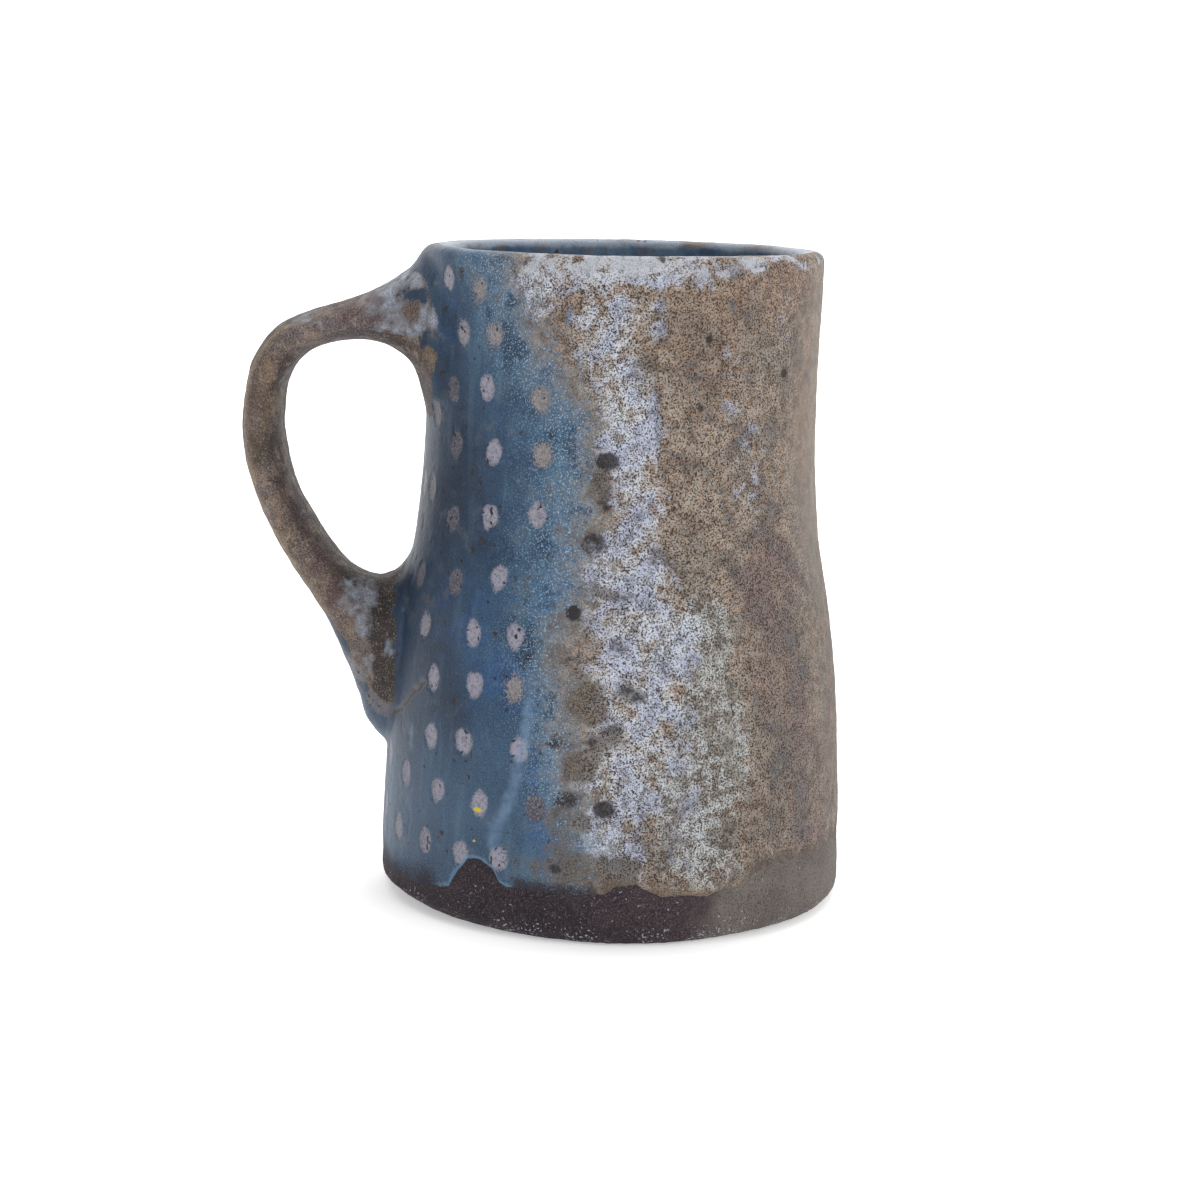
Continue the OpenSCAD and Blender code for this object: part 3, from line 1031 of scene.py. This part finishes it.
    def finish(self, colour, roughness, height, depth, specular):
        """The material, with a relief depth millimetres deep."""
        self.put(self.shader.inputs["Base Color"], colour)
        self.put(self.shader.inputs["Roughness"], roughness)
        self.shader.inputs["Specular IOR Level"].default_value = specular
        bump = self.node("Bump")
        bump.inputs["Distance"].default_value = depth * MM
        self.put(bump.inputs["Height"], height)
        self.put(self.shader.inputs["Normal"], bump.outputs[0])
        return self.material


def blue_colour(g):
    """Satin blue: painted shade towards the handle, lighter and greyer low down partly as a
    painted sheen, streaked, with fine iron specks.
    """
    low = g.band(g.height(), 0.040, 0.018)
    bright = g.times(g.mask("bright"), g.band(g.blot, 0.38, 0.58))
    colour = g.ramp(g.cloud, 0.35, 0.65, (34, 55, 80), (48, 76, 104))
    # Lighter, greyer blue low down, partly a painted sheen.
    colour = g.cover(colour, low, 0.5, (68, 90, 112))
    colour = g.cover(colour, bright, 0.75, (28, 74, 130))
    colour = g.wash(
        colour,
        (g.noise(2.6, 2, 0.5, 0, 0.12), 0.5, 0.68, 0.45, (78, 108, 132)),
        (g.blot, 0.52, 0.7, 0.3, (84, 104, 116)),
        (g.grain, 0.52, 0.64, 0.4, (30, 42, 60)),
        (g.grain, 0.46, 0.34, 0.35, (94, 120, 142)),
    )
    # Painted shade: the blue is darkened towards the handle, where its root casts shadow, and less
    # so low down.
    shade = g.band(g.add(g.mask("ash"), g.swing(g.cloud, 14)), -8, -27)
    shade = g.times(shade, g.flip(g.times(low, 0.8)))
    colour = g.cover(colour, shade, 0.65, (26, 36, 52))
    return g.wash(colour, (g.noise(1.5, 1), 0.69, 0.74, 1, (42, 32, 32)))


def dot_colour(g):
    """Lilac to tan clay seen through the resist dots, netted and pitted, with painted shade
    towards the handle.
    """
    tone = g.mask("tone")
    return g.wash(
        g.ramp(tone, 0.1, 1.0, (144, 141, 154), (132, 126, 120)),
        (tone, 1.05, 1.4, 1, (72, 66, 72)),
        (g.hue, 0.48, 0.6, 0.6, (90, 88, 100)),
        (g.grain, 0.48, 0.36, 0.35, (176, 172, 180)),
        (g.mask("dot"), -0.7, 0.1, 0.35, (84, 88, 102)),
        # Painted shade: dots towards the handle are darkened.
        (g.mask("ash"), -20, -38, 0.45, (74, 76, 90)),
        (g.noise(0.95, 0.5), 0.67, 0.72, 1, (36, 30, 38)),
    )


def brown_colour(g):
    """Dry granular brown: tan, orange and grey-blue grains."""
    light = g.wash(
        g.ramp(g.blot, 0.4, 0.62, (160, 144, 129), (126, 111, 98)),
        (g.mottle, 0.5, 0.68, 0.6, (172, 160, 146)),
        (g.mottle, 0.5, 0.34, 0.5, (108, 84, 66)),
        (g.hue, 0.52, 0.64, 0.7, (132, 140, 142)),
        (g.hue, 0.48, 0.36, 0.5, (120, 84, 58)),
    )
    light = g.cover(light, g.mask("tan"), 0.4, (140, 106, 80))
    light = g.wash(light, (g.cloud, 0.48, 0.66, 0.45, (116, 110, 104)))
    return g.pitted(light, 0.41, 0.54, (46, 37, 32))


def ash_colour(g):
    """Brown ash glaze with its purple patches, grey panels and smoother right side, which is
    painted paler higher up where light from the right falls.
    """
    purple = g.wash(
        g.ramp(g.cloud, 0.42, 0.62, (122, 102, 96), (112, 102, 94)),
        (g.hue, 0.5, 0.62, 0.6, (138, 130, 122)),
    )
    purple = g.pitted(purple, 0.42, 0.56, (46, 37, 37))
    base = g.mix(g.band(g.ragged("purple", 1.9, 1.0, 0.8), 0.0, 1.3), brown_colour(g), purple)
    runs = g.noise(5, 3, 0.6, 0, 0.14)
    # Painted light: the smoother right side is paler higher up, where light from the right falls
    # on it.
    pale = g.ramp(runs, 0.4, 0.62, (136, 120, 106), (132, 126, 118))
    calm = g.ramp(runs, 0.4, 0.62, (100, 85, 74), (100, 98, 92))
    calm = g.mix(g.band(g.height(), 0.045, 0.075), calm, pale)
    base = g.mix(g.times(g.mask("calm"), 0.5), base, g.peppered(calm))
    panel = g.wash(
        g.ramp(g.blot, 0.42, 0.6, (180, 185, 187), (150, 146, 136)),
        (g.hue, 0.5, 0.62, 0.4, (132, 116, 96)),
        (g.mottle, 0.52, 0.38, 0.7, (112, 96, 80)),
    )
    panel = g.pitted(panel, 0.40, 0.58, (58, 52, 48))
    return g.mix(g.band(g.ragged("panel", 2.4, 0.8, 0.8), 0.2, 0.85), base, panel)


def lace_colour(g):
    """White to lavender lace with small dark holes."""
    tint = g.wash(
        g.ramp(g.blot, 0.4, 0.6, (200, 206, 214), (178, 184, 204)),
        (g.hue, 0.52, 0.64, 0.6, (140, 130, 118)),
        (g.mottle, 0.5, 0.36, 0.4, (132, 122, 112)),
    )
    return g.pitted(tint, 0.40, 0.54, (44, 40, 42))


def blue_and_ash(g):
    """The blue, with a halo, painted glints and holes by the ash, the ash, and the ash's mask."""
    ash, upper = g.mask("ash"), g.band(g.height(), 0.03, 0.065)
    halo = g.times(g.band(ash, g.blend(upper, -7, -15), -1), g.band(g.blot, 0.34, 0.54))
    # Painted glints: pale specks in the blue near the ash's edge.
    painted_glints = g.times(g.band(ash, g.blend(upper, -11, -16), 0), g.band(g.grain, 0.46, 0.35))
    holes = g.times(g.band(ash, -16, 0), g.band(g.grain, 0.54, 0.64))
    blue = g.cover(blue_colour(g), halo, 0.5, (88, 122, 148))
    blue = g.cover(blue, painted_glints, 0.75, (164, 186, 202))
    blue = g.cover(blue, holes, 0.6, (40, 46, 54))
    in_ash = g.band(g.ragged("ash", 18, 22, 12), -4, 4)
    return g.mix(in_ash, blue, ash_colour(g)), in_ash


def white_over(g, colour):
    """White lace, olive-brown soil on it and beside it, a paler, smoother rim that is partly a
    painted highlight along the lip, and the lace's mask.
    """
    white = g.add(g.ragged("white", 3.4, 0.6, 1.2), g.swing(g.mottle, 1.4))
    white = g.times(g.band(white, 0.15, 1.1), g.band(g.mask("white"), 0.03, 0.25))
    white = g.times(white, g.band(g.ragged("ash", 10, 20), -5, 1))
    colour = g.mix(white, colour, lace_colour(g))
    soil = g.band(g.ragged("soil", 2.4, 1.0, 0.8), 0.25, 0.9)
    soil_colour = g.pitted(srgb(116, 104, 90), 0.38, 0.62, (40, 34, 30))
    colour = g.mix(g.times(soil, 0.85), colour, soil_colour)
    # Paler rim over the lace: thin glaze, with a painted highlight along the lip.
    rim = g.times(g.times(g.mask("rim"), white), g.band(g.mottle, 0.36, 0.5))
    return g.cover(colour, rim, 0.7, (176, 178, 184)), white


def dots_over(g, colour):
    """The resist dots: tan ones have a fuzzy outline, and the others a sharp one."""
    tone = g.mask("tone")
    fuzz = g.times(g.band(tone, 0.3, 0.9), g.band(tone, 1.3, 1.05))
    edge = g.add(g.mask("dot"), g.swing(g.noise(2.0, 1), 1.1))
    edge = g.add(edge, g.swing(g.grain, g.blend(fuzz, 0.9, 4.5)))
    clear = g.band(g.ragged("ash", 4, 10), 5, -1)
    amount = g.times(g.times(g.band(edge, 0.22, -0.22), clear), 0.92)
    return g.mix(amount, colour, dot_colour(g))


def marks_over(g, colour):
    """Pale streaks, dark spots, the scar by the lower root, and yellow flecks."""
    scar = g.add(g.mask("scar"), g.swing(g.hue, 1.6))
    return g.wash(
        colour,
        (g.ragged("streak", 2.2, 1.6, 0.8), 0.1, 1.4, 0.6, (112, 140, 170)),
        (g.ragged("spot", 1.6, 1.4, 0.6), 0.25, 0.75, 0.9, (32, 26, 28)),
        (scar, 1.1, 0.5, 0.35, (112, 100, 90)),
        (scar, 0.45, 0.1, 0.9, (36, 30, 32)),
        (g.ragged("fleck", 0.3, 0.6), 0.4, 0.6, 1, (190, 178, 30)),
    )


def edge_over(g, colour, in_ash):
    """The glaze's lower edge: a pale blue roll, a rusty ash edge, and fading over the clay."""
    roll = g.add(g.mask("edge"), g.swing(g.mottle, g.blend(in_ash, 1.5, 5.0)))
    roll = g.band(roll, g.blend(in_ash, 1.0, 2.4), 0.4)
    rim = g.mix(in_ash, srgb(92, 122, 146), srgb(104, 86, 72))
    thin = g.band(g.ragged("thin", 1.4, 1.2), 0.1, 0.95)
    amount = g.times(g.times(roll, g.flip(thin)), g.blend(in_ash, 0.7, 0.45))
    colour = g.mix(amount, colour, rim)
    fade = g.ramp(g.mask("ash"), 14, 40, (50, 44, 50), (94, 85, 77))
    return g.mix(g.times(thin, 0.9), colour, g.peppered(fade))


def body_glaze(g):
    """Colour of the outside glaze, and the masks of its ash and of its white lace."""
    colour, in_ash = blue_and_ash(g)
    colour, white = white_over(g, colour)
    colour = marks_over(g, dots_over(g, colour))
    return edge_over(g, colour, in_ash), in_ash, white


def glaze_finish(g, colour, in_ash, white):
    """Satin blue, drier ash, and the grain's relief."""
    rough = g.blend(g.times(white, 0.6), g.blend(in_ash, 0.46, 0.66), 0.48)
    rough = g.blend(g.mask("thin"), rough, 0.85)
    height = g.add(g.times(g.grain, g.blend(in_ash, 0.25, 1.0)), g.times(g.hue, 0.5))
    return g.finish(colour, g.add(rough, g.swing(g.grain, 0.25)), height, 0.14, 0.25)


def glaze_material(name):
    """Outside glaze of the body."""
    g = Graph(name)
    return glaze_finish(g, *body_glaze(g))


def crust_colour(g):
    """The handle's dry crust: a pale gold ridge that is a painted highlight, painted shade over
    its inner side and along its outer edge, and the patches along it.
    """
    across = g.ragged("across", 0.7, 0.3)
    # Where the painted highlight of the ridge lies.
    ridge_highlight = g.times(g.band(across, 0.45, 0.62), g.band(across, 0.85, 0.72))
    # Painted shade: the crust darkens over the inner side of the section.
    crust = g.wash(
        g.ramp(across, -0.9, 0.1, (58, 48, 48), (98, 85, 79)),
        (g.blot, 0.5, 0.64, 0.6, (126, 108, 94)),
    )
    # The painted highlight on the ridge, and painted shade along the outer edge.
    crust = g.wash(
        g.cover(crust, ridge_highlight, 0.5, (134, 114, 86)),
        (across, 0.76, 0.92, 1, (66, 53, 42)),
        (g.cloud, 0.5, 0.62, 0.5, (98, 92, 98)),
        (g.mottle, 0.53, 0.66, 0.5, (136, 120, 106)),
        (g.ragged("gold", 1.4, 0.8), 0.2, 0.7, 0.85, (126, 106, 82)),
        (g.ragged("russet", 1.4, 0.8), 0.2, 0.7, 0.85, (84, 66, 66)),
        # Dark crust patches, and the painted shadow under the upper root.
        (g.ragged("dark", 1.4, 0.8), 0.2, 0.7, 0.85, (42, 38, 39)),
        (g.pore, 0.5, 0.36, 0.65, (38, 31, 28)),
        (g.pore, 0.54, 0.68, 0.45, (172, 162, 150)),
    )
    pale = g.wash(
        g.ramp(g.grain, 0.38, 0.62, (168, 180, 196), (104, 114, 130)),
        (g.hue, 0.5, 0.62, 0.6, (104, 92, 90)),
    )
    # Pale glaze patches; the one on the upper root at 31.6 mm, 98.2 mm is a painted highlight.
    amount = g.add(g.ragged("pale", 2.0, 0.8, 0.8), g.swing(g.mottle, 2.4))
    amount = g.times(g.band(amount, 0.0, 1.25), g.band(g.mask("pale"), 0.03, 0.3))
    amount = g.times(amount, g.flip(g.times(g.mask("russet"), 0.8)))
    return g.mix(g.times(amount, 0.85), crust, pale)


def handle_material():
    """The body's glaze where the roots meet the wall, and the dry crust beyond."""
    g = Graph("handle_glaze")
    colour, in_ash, white = body_glaze(g)
    crusty = g.band(g.ragged("grip", 0.9, 0.9), 0.3, 0.7)
    pale = g.band(g.ragged("pale", 2.4, 0.6, 0.8), 0.3, 0.9)
    colour = g.mix(g.most(crusty, pale), colour, crust_colour(g))
    return glaze_finish(g, colour, g.most(in_ash, crusty), g.most(white, pale))


def liner_material():
    """Inside glaze: grey-blue, with brown streaks that run down from the lip."""
    g = Graph("liner_glaze")
    colour = g.wash(
        g.ramp(g.blot, 0.35, 0.65, (48, 74, 104), (84, 108, 130)),
        (g.noise(5, 3, 0.6, 0.0, 0.12), 0.53, 0.64, 0.75, (92, 78, 70)),
        (g.grain, 0.52, 0.68, 0.5, (44, 46, 54)),
    )
    rim = g.wash(
        g.ramp(g.noise(9, 2), 0.48, 0.62, (140, 150, 162), (104, 92, 84)),
        (g.grain, 0.5, 0.66, 0.5, (62, 62, 70)),
    )
    lip = g.band(g.ragged("lip", 1.0, 0.4), 0.4, 0.9)
    colour = g.mix(g.times(lip, 0.8), colour, rim)
    colour = g.wash(colour, (g.noise(1.8, 1), 0.70, 0.76, 1, (48, 38, 36)))
    height = g.add(g.times(g.grain, 0.5), g.times(g.blot, 0.8))
    return g.finish(colour, g.add(0.28, g.times(g.grain, 0.3)), height, 0.12, 0.4)


def clay_material():
    """Bare stoneware: dark purple-brown, paler to the right, with white grog specks."""
    g = Graph("bare_clay")
    dark = g.ramp(g.cloud, 0.35, 0.65, (42, 36, 42), (60, 49, 53))
    pale = g.ramp(g.cloud, 0.35, 0.65, (90, 83, 78), (110, 103, 97))
    colour = g.wash(
        g.mix(g.band(g.ragged("pale", 0.8, 0.8), 0.2, 0.9), dark, pale),
        (g.grain, 0.5, 0.64, 0.65, (30, 26, 30)),
        (g.grain, 0.46, 0.34, 0.5, (112, 103, 104)),
    )
    low = g.band(g.height(), 0.0045, 0.001)
    fine = g.add(g.noise(0.42, 0.5), g.swing(low, 0.07))
    fine = g.add(fine, g.times(low, 0.05))
    specks = g.times(g.band(fine, 0.68, 0.74), g.band(g.noise(4, 2), 0.4, 0.6))
    colour = g.cover(colour, specks, 0.85, (158, 156, 168))
    relief = g.add(g.grain, g.times(g.hue, 0.6))
    return g.finish(colour, g.add(0.72, g.times(g.grain, 0.2)), relief, 0.16, 0.25)


# ---- Camera, floor and light ----

def make_camera():
    """Long lens a little above the lip, tilted down, at the photograph's viewing angle."""
    data = bpy.data.cameras.new("camera")
    data.lens = 80.05
    data.sensor_width = 36
    data.clip_start = 0.01
    camera = bpy.data.objects.new("camera", data)
    camera.location = Vector((-2.7, -450.0, 129.25)) * MM
    down, turn = math.radians(10.05), math.radians(1.5)
    level = Matrix.Rotation(math.pi / 2 - down, 3, "X")
    camera.rotation_euler = (level @ Matrix.Rotation(turn, 3, "Z")).to_euler()
    bpy.context.scene.collection.objects.link(camera)
    bpy.context.scene.camera = camera


def add_light(name, size, power, place, target=(0, 0, 0.06)):
    """A soft square lamp aimed at the mug."""
    data = bpy.data.lights.new(name, "AREA")
    data.shape = "SQUARE"
    data.size = size
    data.energy = power
    lamp = bpy.data.objects.new(name, data)
    lamp.location = place
    lamp.rotation_euler = (Vector(target) - Vector(place)).to_track_quat("-Z", "Y").to_euler()
    bpy.context.scene.collection.objects.link(lamp)


def stage_mesh():
    """A floor that curves up into a backdrop, as points and quads."""
    turn = np.radians(np.linspace(0, 90, 25))
    y = np.hstack([-3000, 900 + 900 * np.sin(turn), 1800])
    z = np.hstack([0, 900 - 900 * np.cos(turn), 4000])
    points = [(x, b, c) for b, c in zip(y, z) for x in (-4000, 4000)]
    faces = [(2 * i, 2 * i + 1, 2 * i + 3, 2 * i + 2) for i in range(len(y) - 1)]
    return points, faces


def make_stage():
    """Pale floor and backdrop in one sweep, even surroundings that look white, and two soft
    lamps."""
    scene = bpy.context.scene
    world = bpy.data.worlds.new("studio")
    world.use_nodes = True
    background = world.node_tree.nodes["Background"]
    background.inputs["Color"].default_value = (1, 1, 1, 1)
    glow = world.node_tree.nodes.new("ShaderNodeMapRange")
    glow.inputs["To Min"].default_value = 0.58
    glow.inputs["To Max"].default_value = 1.0
    path = world.node_tree.nodes.new("ShaderNodeLightPath")
    world.node_tree.links.new(path.outputs["Is Camera Ray"], glow.inputs["Value"])
    world.node_tree.links.new(glow.outputs["Result"], background.inputs["Strength"])
    scene.world = world
    paper = bpy.data.materials.new("studio_paper")
    paper.use_nodes = True
    shader = paper.node_tree.nodes["Principled BSDF"]
    shader.inputs["Base Color"].default_value = (0.9, 0.9, 0.9, 1)
    shader.inputs["Roughness"].default_value = 0.9
    shader.inputs["Specular IOR Level"].default_value = 0.0
    shader.inputs["Emission Color"].default_value = (1, 1, 1, 1)
    shader.inputs["Emission Strength"].default_value = 0.36
    sweep = make_object("studio_sweep", *stage_mesh())
    sweep.data.materials.append(paper)
    add_light("key", 0.7, 5.5, (0.75, -0.85, 0.60))
    add_light("backdrop", 1.5, 30.0, (0.0, 0.6, 1.6), (0, 1.6, 0.6))
    scene.view_settings.view_transform = "Standard"


# ---- Putting it together ----

def dress(piece, material, slot, *nodes):
    """Gives a piece its material, puts it under the root body, and hides the CAD nodes it stands
    for. slot is not used.
    """
    piece.data.materials.append(material)
    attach(piece, "root")
    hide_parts(*nodes)


def main():
    """Builds and dresses every piece. The hidden coil keeps its CAD shape."""
    make_camera()
    make_stage()
    clay = clay_material()
    around = np.arange(COLUMNS) * 360 / COLUMNS
    foot, wall = make_clay(around)
    dress(foot, clay, "bare_clay", "body_floor")
    dress(wall, clay, "bare_clay", "body_wall")
    dress(make_liner(around[::2]), liner_material(), "liner_glaze", "liner_glaze")
    blue, ash = make_coats()
    dress(blue, glaze_material("blue_glaze"), "blue_glaze", "outer_glaze_blue")
    dress(ash, glaze_material("ash_glaze"), "ash_glaze", "outer_glaze_ash")
    handle = handle_material()
    roots = ("handle_upper_root", "handle_strap", "handle_lower_root")
    for piece, node in zip(make_handle(), roots):
        dress(piece, handle, "handle_glaze", node)
    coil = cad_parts["seam_coil"]
    for slot in coil.material_slots:
        slot.material = clay


main()
